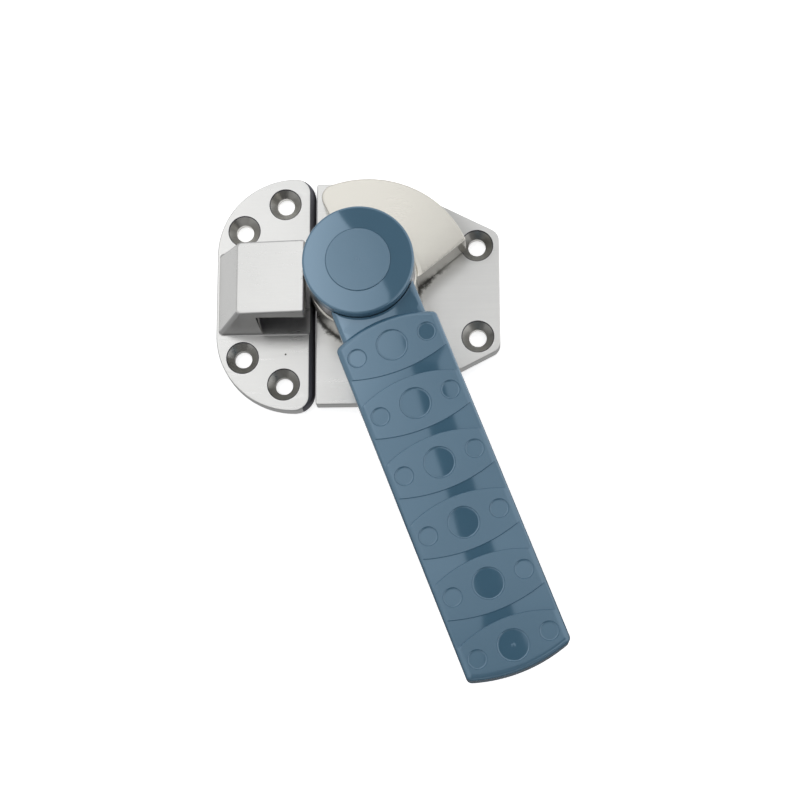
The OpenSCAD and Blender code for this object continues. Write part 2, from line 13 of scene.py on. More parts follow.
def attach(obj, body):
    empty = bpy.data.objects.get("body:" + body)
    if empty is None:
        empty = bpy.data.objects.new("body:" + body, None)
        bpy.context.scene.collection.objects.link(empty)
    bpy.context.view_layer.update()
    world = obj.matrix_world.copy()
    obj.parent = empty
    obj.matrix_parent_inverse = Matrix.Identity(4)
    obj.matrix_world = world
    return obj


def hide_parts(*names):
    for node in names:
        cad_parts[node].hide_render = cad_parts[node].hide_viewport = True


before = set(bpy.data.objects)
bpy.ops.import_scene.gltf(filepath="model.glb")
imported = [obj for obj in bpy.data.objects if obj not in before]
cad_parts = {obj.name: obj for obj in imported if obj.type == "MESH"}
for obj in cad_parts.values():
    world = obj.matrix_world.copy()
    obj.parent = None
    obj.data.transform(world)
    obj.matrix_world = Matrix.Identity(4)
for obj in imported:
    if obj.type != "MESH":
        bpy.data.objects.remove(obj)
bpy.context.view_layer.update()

# %% [markdown]
# The photograph was taken from about 0.75 m, almost straight above the latch
# and a little from below its lower edge. The camera's three axes were worked
# out from the edges of the post and of the plates, so they are set as a
# matrix and not by aiming at a point.

# %% Camera
FOCAL_PIXELS = 1918.0
PHOTO_PIXELS = 800.0
SENSOR_WIDTH = 36.0
CLIP_END = 20.0
CAMERA_PLACE = (0.04877, -0.20834, 0.74399)
CAMERA_RIGHT = (0.99884, -0.00202, -0.04803)
CAMERA_UP = (0.01239, 0.97622, 0.21647)
CAMERA_BACK = (0.04644, -0.21682, 0.97511)


def standing(right, up, back, place):
    """The matrix of an object from its three axes and its place."""
    matrix = np.eye(4)
    matrix[:3] = np.transpose([right, up, back, place])
    return Matrix(matrix.tolist())


camera_data = bpy.data.cameras.new("camera")
camera_data.sensor_width = SENSOR_WIDTH
camera_data.lens = FOCAL_PIXELS / PHOTO_PIXELS * SENSOR_WIDTH
camera_data.clip_end = CLIP_END
camera = bpy.data.objects.new("camera", camera_data)
bpy.context.scene.collection.objects.link(camera)
camera.matrix_world = standing(CAMERA_RIGHT, CAMERA_UP, CAMERA_BACK, CAMERA_PLACE)
bpy.context.scene.camera = camera
bpy.context.scene.view_settings.view_transform = "Standard"
print("camera with a lens of", camera_data.lens, "mm")

# %% [markdown]
# Materials are easier to read as sums than as wires. The first class wraps the
# output of a shader node, so that a + b or 1 - a adds the Math node. The
# second one holds the material, and its methods add the other nodes.


# %% Shader sums
class Signal:
    """An output of a shader node, which can be added, subtracted and multiplied."""

    def __init__(self, finish, socket):
        self.finish = finish
        self.socket = socket

    def __add__(self, other):
        return self.finish.math("ADD", self, other)

    def __sub__(self, other):
        return self.finish.math("SUBTRACT", self, other)

    def __rsub__(self, other):
        return self.finish.math("SUBTRACT", other, self)

    def __mul__(self, other):
        return self.finish.math("MULTIPLY", self, other)

    __radd__ = __add__
    __rmul__ = __mul__


class Finish:
    """A material, or the world, whose nodes are added one by one."""

    def __init__(self, owner):
        owner.use_nodes = True
        self.owner = owner
        self.tree = owner.node_tree
        self.tree.nodes.clear()

    def node(self, kind, settings=None, inputs=None, output=0):
        """Adds a node: its settings first, then the values or links of its sockets."""
        added = self.tree.nodes.new(kind)
        for name, value in (settings or {}).items():
            setattr(added, name, value)
        for key, value in (inputs or {}).items():
            if isinstance(value, Signal):
                self.tree.links.new(value.socket, added.inputs[key])
            else:
                added.inputs[key].default_value = value
        return Signal(self, added.outputs[output])

    def math(self, operation, first, second=0.0):
        """A Math node between two outputs or numbers."""
        return self.node("ShaderNodeMath", {"operation": operation}, {0: first, 1: second})

    def where(self):
        """The place of a point on its object, in metres."""
        return self.node("ShaderNodeTexCoord", output="Object")

    def stored(self, name, output="Fac"):
        """What the mesh stores under a name, or 0 where it stores nothing."""
        return self.node("ShaderNodeAttribute", {"attribute_name": name}, output=output)

    def stretched(self, size):
        """The place of a point, measured along each axis in steps of a size."""
        inputs = {"Vector": self.where(), "Scale": size}
        return self.node("ShaderNodeMapping", {"vector_type": "TEXTURE"}, inputs)

    def noise(self, vector, scale, detail, roughness):
        """Smooth noise from 0 to 1 around 0.5, with scale features to a step of the vector."""
        inputs = {"Vector": vector, "Scale": scale, "Detail": detail, "Roughness": roughness}
        return self.node("ShaderNodeTexNoise", None, inputs)

    def blend(self, share, first, second):
        """Mixes two colours by a share from 0 to 1."""
        settings = {"data_type": "RGBA", "blend_type": "MIX"}
        return self.node("ShaderNodeMix", settings, {0: share, 6: first, 7: second}, output=2)

    def ramp(self, value, start, end):
        """0 up to start, 1 from end on, and a smooth change between them."""
        inputs = {"Value": value, "From Min": start, "From Max": end}
        return self.node("ShaderNodeMapRange", {"interpolation_type": "SMOOTHSTEP"}, inputs)

    def spot(self, centre, inner, outer):
        """1 within inner of a point, 0 from outer on, all in metres."""
        inputs = {0: self.where(), 1: centre}
        reach = self.node("ShaderNodeVectorMath", {"operation": "DISTANCE"}, inputs, "Value")
        return 1 - self.ramp(reach, inner, outer)

    def bump(self, height, depth, strength):
        """Raises the surface by height times depth, in metres."""
        inputs = {"Height": height, "Distance": depth, "Strength": strength}
        return self.node("ShaderNodeBump", None, inputs)

    def end_with(self, surface, kind="ShaderNodeOutputMaterial"):
        """Links a surface to the output, and returns the finished material or world."""
        out = self.tree.nodes.new(kind)
        self.tree.links.new(surface.socket, out.inputs["Surface"])
        return self.owner


def colour(red, green, blue):
    """A colour as a shader takes it, from the 0 to 255 values of a screen."""
    screen = np.array([red, green, blue]) / 255.0
    linear = np.where(screen <= 0.04045, screen / 12.92, ((screen + 0.055) / 1.055) ** 2.4)
    return (*linear.tolist(), 1.0)


print("sum and finish classes are ready")

# %% [markdown]
# The studio is a pale floor with white all round, lit by a large soft lamp
# overhead and a smaller one at the left. Steel and polished plastic look like
# themselves only when they have something bright and something dark to show,
# so cards hang round the latch, as a photographer would hang them. A card
# shows in reflections alone: it throws no shadow and gives no light.

# %% Floor and world
WHITE = (1.0, 1.0, 1.0, 1.0)
FLOOR_TONE = (0.86, 0.86, 0.86, 1.0)
FLOOR_HALF = 3.0
FLOOR_GAP = 0.0003
FLOOR_GLOW = 0.58
AROUND = 0.62
SQUARE = ((-1, -1), (1, -1), (1, 1), (-1, 1))


def sees_background(finish):
    """1 where a ray comes from the camera or from a mirror or glass, else 0."""
    kinds = ("Is Camera Ray", "Is Glossy Ray", "Is Transmission Ray")
    camera_ray, glossy_ray, through_ray = [
        finish.node("ShaderNodeLightPath", output=kind) for kind in kinds
    ]
    return finish.math("MINIMUM", camera_ray + glossy_ray + through_ray, 1.0)


def sheet(name, corners, finish):
    """A flat sheet from its four corners, in metres, that is part of the studio."""
    mesh = bpy.data.meshes.new(name)
    mesh.from_pydata(corners, [], [(0, 1, 2, 3)])
    mesh.materials.append(finish)
    made = bpy.data.objects.new(name, mesh)
    bpy.context.scene.collection.objects.link(made)
    return made


floor_finish = Finish(bpy.data.materials.new("floor_white"))
floor_diffuse = floor_finish.node("ShaderNodeBsdfDiffuse", None, {"Color": FLOOR_TONE})
floor_light = {"Color": WHITE, "Strength": sees_background(floor_finish) * FLOOR_GLOW}
floor_glow = floor_finish.node("ShaderNodeEmission", None, floor_light)
floor_surface = floor_finish.node("ShaderNodeAddShader", None, {0: floor_diffuse, 1: floor_glow})
floor_corners = [(x * FLOOR_HALF, y * FLOOR_HALF, -FLOOR_GAP) for x, y in SQUARE]
sheet("floor", floor_corners, floor_finish.end_with(floor_surface))

world = bpy.data.worlds.new("studio")
bpy.context.scene.world = world
world_finish = Finish(world)
world_light = {"Color": WHITE, "Strength": sees_background(world_finish) * (1 - AROUND) + AROUND}
background = world_finish.node("ShaderNodeBackground", None, world_light)
world_finish.end_with(background, "ShaderNodeOutputWorld")
print("floor and world")

# %% [markdown]
# The ceiling is a grid of cards, brightest where the keeper shows it and dark
# towards the camera. A dark strip below it shows along the grip, and the stand
# that the strip widens into shows in the cap. The other cards give the sides
# their tone.


# %% Lights and cards
def soft_light(name, place, size, power):
    """A square area light at a place, which faces the latch."""
    data = bpy.data.lights.new(name, "AREA")
    data.shape = "SQUARE"
    data.size = size
    data.energy = power
    lamp = bpy.data.objects.new(name, data)
    bpy.context.scene.collection.objects.link(lamp)
    lamp.visible_glossy = False
    back = np.array(place) / np.linalg.norm(place)
    side = np.cross((0.0, 1.0, 0.0), back)
    side = side / np.linalg.norm(side)
    lamp.matrix_world = standing(side, np.cross(back, side), back, place)


def card(name, levels, *corners):
    """A card that only reflections show, with a brightness at each of its corners."""
    finish = Finish(bpy.data.materials.new(name))
    glow = finish.node("ShaderNodeEmission", None, {"Color": finish.stored("level", "Color")})
    made = sheet(name, corners, finish.end_with(glow))
    layer = made.data.attributes.new("level", "FLOAT_COLOR", "POINT")
    layer.data.foreach_set("color", np.repeat(np.broadcast_to(levels, 4), 4).astype(np.float32))
    made.visible_camera = False
    made.visible_diffuse = False
    made.visible_shadow = False
    made.visible_transmission = False


def level_card(name, levels, z, near, far):
    """A level card at a height, from the y, the left x and the right x of both ends."""
    corners = [(near[1], near[0], z), (near[2], near[0], z), (far[2], far[0], z), (far[1], far[0], z)]
    card(name, levels, *corners)


soft_light("overhead", (-0.10, 0.25, 1.60), 1.5, 8.0)
soft_light("left_side", (-1.30, 0.30, 0.80), 0.8, 3.0)

HIGH, LOW, TABLE = 1.32, 1.30, -0.0002
FRONT = -0.15
CEILING_X = [-1.40, -0.45, -0.15, -0.03, 0.08, 0.15, 0.40]
CEILING = [
    (FRONT, (0.60, 0.60, 0.60, 0.14, 0.16, 0.35, 0.60)),
    (0.05, (0.80, 0.80, 1.10, 0.88, 0.78, 0.76, 0.90)),
    (0.27, (1.10, 1.10, 1.85, 0.78, 0.56, 0.68, 1.00)),
    (0.60, (1.10, 1.10, 1.90, 0.72, 0.58, 0.68, 1.00)),
]
for row, ((near_y, near), (far_y, far)) in enumerate(zip(CEILING, CEILING[1:])):
    for column, (left, right) in enumerate(zip(CEILING_X, CEILING_X[1:])):
        levels = (near[column], near[column + 1], far[column + 1], far[column])
        name = f"card_ceiling_{row}_{column}"
        level_card(name, levels, HIGH, (near_y, left, right), (far_y, left, right))

level_card("card_strip", 0.04, LOW, (0.0, 0.0389, 0.0714), (0.265, -0.033, -0.005))
level_card("card_strip_end", 0.04, LOW, (-0.12, 0.045, 0.120), (0.0, 0.0389, 0.0714))
level_card("card_stand_foot", 0.18, LOW, (0.265, -0.036, -0.005), (0.332, -0.050, 0.025))
level_card("card_stand", 0.18, LOW, (0.332, -0.050, 0.025), (0.50, -0.148, 0.040))
level_card("card_camera", 0.18, LOW, (-2.0, -0.05, 0.9), (FRONT, -0.05, 0.9))
level_card("card_camera_left", 0.60, LOW, (-2.0, -0.9, -0.05), (FRONT, -0.9, -0.05))
card("card_front", 0.16, (-2.0, -2.0, -0.1), (2.0, -2.0, -0.1), (2.0, -2.0, LOW), (-2.0, -2.0, LOW))
card("card_back", 0.40, (-2.0, 2.0, -0.1), (2.0, 2.0, -0.1), (2.0, 2.0, 0.7), (-2.0, 2.0, 0.7))
card("card_left", 0.60, (-1.4, -2.0, -0.1), (-1.4, 2.0, -0.1), (-1.4, 2.0, LOW), (-1.4, -2.0, LOW))
level_card("card_table", 0.12, TABLE, (-0.5, -0.4, 0.4), (-0.085, -0.4, 0.4))
level_card("card_table_near", 0.42, TABLE, (-0.085, -0.4, 0.4), (-0.018, -0.4, 0.4))
level_card("card_table_left", 0.72, TABLE, (-0.018, -0.4, -0.058), (0.4, -0.4, -0.058))
print("two soft lights and their cards")

# %% [markdown]
# Every new surface is worked out in millimetres with numpy and put into the
# mesh in metres. A loft joins closed rings of equal length with quads, and a
# lathe is a loft whose rings are circles. Corners are rounded by arcs about
# fixed centres, so that the same outline can also be drawn in by any amount.

# %% Surfaces from arrays
MM = 0.001
SHARP_ANGLE = np.radians(32.0)
DOUBLED = 2e-6


def loft(rings, first_cap=False, last_cap=False, closed=True):
    """Vertices and faces of quads between rings, an array of shape rings, points, 3."""
    count, points = rings.shape[:2]
    row = np.arange(count - 1)[:, None] * points
    last = points if closed else points - 1
    column = np.arange(last)[None, :]
    following = (column + 1) % points
    above = row + points
    quads = np.stack([row + column, row + following, above + following, above + column], axis=-1)
    faces = quads.reshape(-1, 4).tolist()
    if first_cap:
        faces.append(list(range(points))[::-1])
    if last_cap:
        faces.append(list(range((count - 1) * points, count * points)))
    return rings.reshape(-1, 3), faces


def lathe(profile, place=(0.0, 0.0), steps=144):
    """Turns a profile of radius and height pairs about a vertical line. A profile
    that starts on the line also ends there; any other one is closed to a ring."""
    profile = np.asarray(profile, dtype=float)
    turn = np.linspace(0.0, 2.0 * np.pi, steps, endpoint=False)
    x = place[0] + profile[:, :1] * np.cos(turn)
    y = place[1] + profile[:, :1] * np.sin(turn)
    z = np.repeat(profile[:, 1:], steps, axis=1)
    rings = np.stack([x, y, z], axis=-1)
    return loft(rings if profile[0, 0] == 0.0 else np.concatenate([rings, rings[:1]]))


def arc(centre, radius, start, end, steps=6):
    """Points of a circle from one angle to another, in degrees."""
    angle = np.radians(np.linspace(start, end, steps + 1))
    x = centre[0] + radius * np.cos(angle)
    y = centre[1] + radius * np.sin(angle)
    return np.stack([x, y], axis=-1)


def rounding(radius, steps=5):
    """A quarter circle in pairs: the radius less its cosine part, which grows
    from 0, and the radius less its sine part, which falls to 0."""
    angles = np.radians(np.linspace(0.0, 90.0, steps + 1))
    return [(radius * (1 - np.cos(t)), radius * (1 - np.sin(t))) for t in angles]


def rounded(points, radii, inset=0.0, steps=12):
    """A convex outline with rounded corners. Each corner is an arc about the
    centre that its full radius gives, with the radius less the inset."""
    points = np.asarray(points, dtype=float)
    radii = np.asarray(radii, dtype=float)[:, None]
    to_last = np.roll(points, 1, axis=0) - points
    to_next = np.roll(points, -1, axis=0) - points
    to_last = to_last / np.linalg.norm(to_last, axis=1, keepdims=True)
    to_next = to_next / np.linalg.norm(to_next, axis=1, keepdims=True)
    middle = to_last + to_next
    middle = middle / np.linalg.norm(middle, axis=1, keepdims=True)
    half_angle = np.arccos(np.clip(np.sum(to_last * middle, axis=1), -1.0, 1.0))[:, None]
    centre = points + middle * radii / np.sin(half_angle)
    swing = np.linspace(-1.0, 1.0, steps + 1)[None, :] * (np.pi / 2 - half_angle)
    angle = np.arctan2(-middle[:, 1:], -middle[:, :1]) + swing
    x = centre[:, :1] + (radii - inset) * np.cos(angle)
    y = centre[:, 1:] + (radii - inset) * np.sin(angle)
    return np.stack([x, y], axis=-1).reshape(-1, 2)


def at_height(outline, z):
    """A flat outline as a ring at one height, or at one height for each point."""
    z = np.broadcast_to(z, outline.shape[:1])
    return np.concatenate([outline, z[:, None]], axis=1)


def together(*parts):
    """Several vertex and face lists as one."""
    vertices, faces, start = [], [], 0
    for part_vertices, part_faces in parts:
        vertices.append(np.asarray(part_vertices, dtype=float))
        faces.extend([[index + start for index in face] for face in part_faces])
        start += len(part_vertices)
    return np.concatenate(vertices), faces


def tidy(mesh):
    """Merges doubled vertices, points every face outwards and splits the caps."""
    shape = bmesh.new()
    shape.from_mesh(mesh)
    bmesh.ops.remove_doubles(shape, verts=shape.verts, dist=DOUBLED)
    bmesh.ops.recalc_face_normals(shape, faces=shape.faces)
    bmesh.ops.triangulate(shape, faces=[face for face in shape.faces if len(face.verts) > 4])
    shape.to_mesh(mesh)
    shape.free()


def shape_object(name, shape):
    """A mesh object from vertices in millimetres and faces."""
    vertices, faces = shape
    mesh = bpy.data.meshes.new(name)
    mesh.from_pydata((np.asarray(vertices) * MM).tolist(), [], faces)
    tidy(mesh)
    made = bpy.data.objects.new(name, mesh)
    bpy.context.scene.collection.objects.link(made)
    return made


def face_values(made, name):
    """The centres or the normals of an object's faces."""
    mesh = made.data
    values = np.empty(len(mesh.polygons) * 3)
    mesh.polygons.foreach_get(name, values)
    return values.reshape(-1, 3)


def mark_faces(made, name, marked):
    """Stores a value for each face where the finish needs one."""
    layer = made.data.attributes.new(name, "FLOAT", "FACE")
    layer.data.foreach_set("value", np.asarray(marked, dtype=np.float32))


def carve(made, tool, operation="DIFFERENCE"):
    """Cuts one closed shape from another, or joins it on, and keeps the result."""
    cut = made.modifiers.new("cut", "BOOLEAN")
    cut.object = tool
    cut.operation = operation
    cut.solver = "MANIFOLD"
    depsgraph = bpy.context.evaluated_depsgraph_get()
    result = bpy.data.meshes.new_from_object(made.evaluated_get(depsgraph))
    made.modifiers.clear()
    made.data = result
    bpy.data.objects.remove(tool)


def show(made, body, finish, slot, *replaced):
    """Gives a piece its finish and its body, and hides the nodes it stands for. The slot is not used.
    """
    made.data.materials.clear()
    made.data.materials.append(finish)
    made.data.shade_smooth()
    made.data.set_sharp_from_angle(angle=SHARP_ANGLE)
    flats = made.modifiers.new("flats", "WEIGHTED_NORMAL")
    flats.keep_sharp = True
    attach(made, body)
    if replaced:
        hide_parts(*replaced)
    print(made.name, len(made.data.polygons), "faces")


# %% [markdown]
# The castings are satin stainless steel. Satin comes from fine scratches that
# all run one way, here along the short side of the latch, so the noise behind
# the roughness and the bump is stretched along X. A second, broad noise keeps
# the tone from being even. The cones and bores of the screw holes get a light
# painted shade. The rims of the holes, the slot and the rounded edge beside the
# door get a dark painted shade, which also makes them rougher, and the other
# sides get a part of it. Dirt with painted contact shade darkens the plate round
# the hub's foot and along the wedge's thick end, painted shade lies beyond the
# wedge's rim, and the keeper's face has one small pit.

# %% Steel finishes
STEEL, STEEL_DARK = (233, 233, 231), (207, 207, 206)
# A light painted shade for the screw holes' cones and bores.
HOLE_PAINTED_SHADE = colour(190, 189, 185)
# A dark painted shade for the holes' rims, the slot, the edge beside the door and steep sides.
DARK_PAINTED_SHADE = colour(104, 104, 110)
# Dirt with painted shade on the base plate round the hub, along the wedge's thick end and beyond its
# rim.
DIRT_AND_SHADE_TONE = colour(52, 50, 48)
SCRATCH = (0.030, 0.0009, 0.0009)
HEEL_SINE, HEEL_COSINE = 0.633, 0.774
RING_END = (0.0240, 0.0258)
STRIP_START, STRIP_END = (0.0110, 0.0118), (0.0155, 0.0175)
STRIP_REACH, STRIP_X = (0.026, 0.040), (0.012, 0.016)
SHADE_REACH, SHADE_X, SHADE_Y, SHADE = (0.0437, 0.0560), (0.014, 0.020), (0.010, 0.016), 0.4
PIT, PIT_EDGE = (-0.0319, -0.0251, 0.006), (0.0002, 0.0005)


def dirt_and_painted_shade(finish):
    """1 where the plate is darkened, the largest of: dirt with painted contact shade
    in a ring round the hub's foot and in a strip along the wedge's thick end,
    painted shade beyond the wedge's rim, and a pit. Each of them is a product of
    ramps over the place, and noise makes the ends ragged."""
    place = {0: finish.where()}
    x, y = [finish.node("ShaderNodeSeparateXYZ", None, place, axis) for axis in (0, 1)]
    radius = finish.math("SQRT", x * x + y * y)
    ragged = finish.noise(finish.where(), 380.0, 4.0, 0.7)
    # Dirt with painted contact shade round the hub's foot.
    ring = 1 - finish.ramp(radius + ragged * 0.005, *RING_END)
    # Dirt with painted contact shade along the wedge's thick end.
    beyond = x * HEEL_SINE - y * HEEL_COSINE
    strip = finish.ramp(beyond, *STRIP_START)
    strip = strip * (1 - finish.ramp(beyond + ragged * 0.006, *STRIP_END))
    strip = strip * (1 - finish.ramp(radius, *STRIP_REACH)) * finish.ramp(x, *STRIP_X)
    # Painted shade of the wedge on the plate beyond its rim.
    shade = (1 - finish.ramp(radius, *SHADE_REACH)) * finish.ramp(x, *SHADE_X)
    shade = shade * finish.ramp(y, *SHADE_Y) * SHADE
    dirt_and_shade_share = finish.math("MAXIMUM", ring, strip + shade) * 0.9
    return finish.math("MAXIMUM", dirt_and_shade_share, finish.spot(PIT, *PIT_EDGE))


def satin_steel(name, light, dark, base_roughness, scratch, stained_and_shaded=False):
    """Metal with stretched scratches, a broad change of tone, a light painted shade in the holes, a
    dark painted shade on rims and steep faces, and, when asked, dirt with painted shade.
    """
    finish = Finish(bpy.data.materials.new(name))
    lines = finish.noise(finish.stretched(SCRATCH), 1.0, 4.0, 0.6)
    clouds = finish.noise(finish.where(), 26.0, 3.0, 0.55)
    grain = finish.noise(finish.where(), 2600.0, 2.0, 0.5)
    tone = finish.blend(clouds + lines * 0.3 - 0.15, colour(*dark), colour(*light))
    # Painted shade: a light one in the holes' cones and bores, a dark one on rims, the slot and steep
    # sides.
    hole_shade, dark_shade = finish.stored("hole_shade"), finish.stored("dark_shade")
    # The dark painted shade, which also makes these faces rougher and bumpier.
    base = finish.blend(dark_shade, finish.blend(hole_shade, tone, HOLE_PAINTED_SHADE), DARK_PAINTED_SHADE)
    # Dirt and painted shade on the base plate.
    if stained_and_shaded:
        base = finish.blend(dirt_and_painted_shade(finish), base, DIRT_AND_SHADE_TONE)
    roughness = lines * scratch + (base_roughness - scratch / 2) + clouds * 0.10 - 0.05 + dark_shade * 0.30
    height = lines * 0.6 + grain * 0.4 + dark_shade * grain * 1.5
    inputs = {
        "Base Color": base,
        "Roughness": roughness,
        "Metallic": 1.0,
        "Normal": finish.bump(height, 3e-5, 0.35),
    }
    return finish.end_with(finish.node("ShaderNodeBsdfPrincipled", None, inputs))


def plain_finish(name, base, second, metallic, roughness, scale, depth):
    """A finish with a fine grain in its tone, its roughness and its height."""
    finish = Finish(bpy.data.materials.new(name))
    grain = finish.noise(finish.where(), scale, 3.0, 0.5)
    inputs = {
        "Base Color": finish.blend(grain, colour(*second), colour(*base)),
        "Roughness": grain * 0.12 + (roughness - 0.06),
        "Metallic": metallic,
        "Normal": finish.bump(grain, depth, 0.5),
    }
    return finish.end_with(finish.node("ShaderNodeBsdfPrincipled", None, inputs))


# The castings' steel carries dirt and painted shade.
cast_steel = satin_steel("cast_steel_satin", STEEL, STEEL_DARK, 0.30, 0.12, stained_and_shaded=True)
cam_steel = satin_steel("cam_steel_polished", (216, 213, 205), (196, 194, 187), 0.25, 0.05)
turned_steel = satin_steel("turned_steel", (196, 196, 196), (180, 180, 180), 0.30, 0.10)
core_steel = satin_steel("core_steel", (205, 203, 206), (188, 187, 190), 0.22, 0.08)
spring_steel = plain_finish("spring_steel_oiled", (92, 92, 96), (70, 70, 74), 1.0, 0.35, 900.0, 2e-5)
bronze = plain_finish("bronze_sintered", (190, 140, 82), (160, 112, 62), 1.0, 0.42, 2200.0, 2e-5)
brass = plain_finish("brass_knurled", (212, 178, 104), (190, 154, 84), 1.0, 0.3, 1500.0, 2e-5)
bearing_plastic = plain_finish("bearing_plastic", (34, 34, 34), (24, 24, 24), 0.0, 0.5, 900.0, 1e-5)
ring_rubber = plain_finish("ring_rubber", (18, 18, 18), (10, 10, 10), 0.0, 0.6, 900.0, 1e-5)
print("metal and rubber finishes are ready")

# %% [markdown]
# The grip is dyed nylon. Its bands are textured in the mould and its dimples
# and the strips between the bands are polished, so a value on the mesh, which
# is 1 where the mould is polished, lowers the roughness there. The cap's level
# face is polished too, and its edge and the plug in it are textured.

# %% Plastic finish
BLUE = colour(62, 93, 113)
BLUE_LIGHT = colour(66, 99, 120)
BLUE_SHEEN = (0.66, 0.83, 1.0, 1.0)
LEVEL = 0.97


def dyed_nylon(name, rough, smooth):
    """Blue plastic whose roughness falls from rough to smooth as polish rises."""
    finish = Finish(bpy.data.materials.new(name))
    polish = finish.stored("polish")
    clouds = finish.noise(finish.where(), 34.0, 3.0, 0.5)
    grain = finish.noise(finish.where(), 3600.0, 2.0, 0.5)
    waves = finish.noise(finish.where(), 60.0, 1.0, 0.4)
    roughness = polish * (smooth - rough) + rough + (clouds - 0.5) * (1 - polish) * 0.03
    height = grain * (1 - polish) * 0.25 + waves * (1 - polish * 0.4)
    inputs = {
        "Base Color": finish.blend(clouds, BLUE, BLUE_LIGHT),
        "Roughness": roughness,
        "IOR": 2.3,
        "Specular Tint": BLUE_SHEEN,
        "Normal": finish.bump(height, 6e-5, 0.25),
    }
    return finish.end_with(finish.node("ShaderNodeBsdfPrincipled", None, inputs))


grip_nylon = dyed_nylon("grip_nylon_blue", 0.19, 0.03)


def mark_polish(made, under):
    """Marks the level faces that lie below a height as polished."""
    level = face_values(made, "normal")[:, 2] > LEVEL
    mark_faces(made, "polish", level & (face_values(made, "center")[:, 2] / MM < under))


print("finishes:", len(bpy.data.materials))

# %% [markdown]
# Both castings are flat plates with a narrow rounding at the face. The screw
# holes are cut with turned cutters, so the cone and the bore come out round.
# The faces of a casting are then marked by their place and by the way they
# face: the holes' cones and bores for a light painted shade, and each face with
# its share of a dark painted shade.

# %% Plate and hole helpers
PLATE_T, EDGE_R, BACK_CHAMFER = 6.0, 0.4, 0.2
HOLE_R, CONE_R, BACK_FLARE = 3.5, 6.5, 1.25
RIM, RIM_DEEP = 0.3, 0.42
PAST = 1.0
SLOT_R = 44.5
DOOR_EDGE = (-25.0, -20.0)
STEEP, DOOR_STEEP, HOLE_STEEP = 0.93, 0.985, 0.95
# Shares of the dark painted shade on the castings' faces.
FULL_SHADE_SHARE, HOOD_SHADE_SHARE, SIDE_SHADE_SHARE = 1.0, 0.35, 0.2


def screw_cutter(x, y):
    """A turned cutter: bore with a flare at the back, 90 degree cone and steep rim."""
    cone_end, rim_z = CONE_R - RIM, PLATE_T - RIM_DEEP
    profile = [(0.0, -PAST), (HOLE_R + BACK_FLARE, -PAST), (HOLE_R, BACK_FLARE - PAST),
               (HOLE_R, rim_z - cone_end + HOLE_R), (cone_end, rim_z),
               (CONE_R - 0.04, PLATE_T - 0.04), (CONE_R + 0.06, PLATE_T),
               (CONE_R + 0.30, PLATE_T + PAST / 2), (0.0, PLATE_T + PAST / 2)]
    return lathe(profile, (x, y), 96)


def mark_casting(made, places):
    """Marks the screw holes' cones and bores for a light painted shade, and how much dark painted shade
    each face gets.
    A face is steep when the upright part of its normal is under a limit. The
    slot is known by its wall, a circle about the post, and by its roof."""
    centres, normals = face_values(made, "center") / MM, face_values(made, "normal")
    from_holes = centres[:, None, :2] - np.asarray(places)[None, :, :]
    distance = np.linalg.norm(from_holes, axis=2).min(axis=1)
    in_hole = (distance < CONE_R + 0.1) & (np.abs(normals[:, 2]) < HOLE_STEEP)
    rim = in_hole & (distance > CONE_R - RIM)
    door_side = (centres[:, 0] > DOOR_EDGE[0]) & (centres[:, 0] < DOOR_EDGE[1])
    steep = (normals[:, 2] < np.where(door_side, DOOR_STEEP, STEEP)) & ~in_hole
    above = centres[:, 2] > PLATE_T + 0.1
    from_wall = np.abs(np.hypot(centres[:, 0], centres[:, 1]) - SLOT_R)
    slot = above & (((from_wall < 0.2) & (normals[:, 0] > 0.5)) | (normals[:, 2] < -0.5))
    hood_side = steep & above & ~slot
    hood_back = hood_side & (normals[:, 0] < -0.3) & (np.abs(normals[:, 1]) < 0.3)
    # Faces that get the full dark painted shade: the holes' rims, the slot and the edge beside the
    # door.
    fully_shaded = rim | slot | (steep & door_side & ~above)
    # The share of dark painted shade that each face gets.
    dark_share = np.select([hood_back, fully_shaded, hood_side, steep], [0.0, FULL_SHADE_SHARE, HOOD_SHADE_SHARE, SIDE_SHADE_SHARE])
    # The holes' cones and bores get the light painted shade.
    mark_faces(made, "hole_shade", in_hole & ~rim)
    mark_faces(made, "dark_shade", dark_share)


print("plate helpers are ready")

# %% [markdown]
# The base plate carries the hub and is screwed to the door. A ring of its
# outline is drawn in a little at the back, runs up the side, and follows a
# quarter circle to the face. The post's flange is let in from the back.

# %% Base plate
BASE_LEFT, BASE_RIGHT, BASE_SLOPE_X = -19.8, 53.5, 11.0
BASE_H, BASE_FAR_H = 91.4, 48.0
BASE_HOLES = [(44.6, 18.8), (44.6, -18.8), (5.7, 36.3), (5.7, -36.3)]
BASE_CORNERS = [(BASE_LEFT, -BASE_H / 2), (BASE_SLOPE_X, -BASE_H / 2),
                (BASE_RIGHT, -BASE_FAR_H / 2), (BASE_RIGHT, BASE_FAR_H / 2),
                (BASE_SLOPE_X, BASE_H / 2), (BASE_LEFT, BASE_H / 2)]
BASE_RADII = [0.8, 3.0, 5.0, 5.0, 3.0, 0.8]
POST_FLANGE_R, POST_FLANGE_T, POST_R = 12.02, 3.0, 8.02
STOP_R, STOP_HOLE_R = 15.5, 2.52


def base_ring(inset, z):
    """The base plate's outline drawn in by inset, at a height."""
    return at_height(rounded(BASE_CORNERS, BASE_RADII, inset), z)


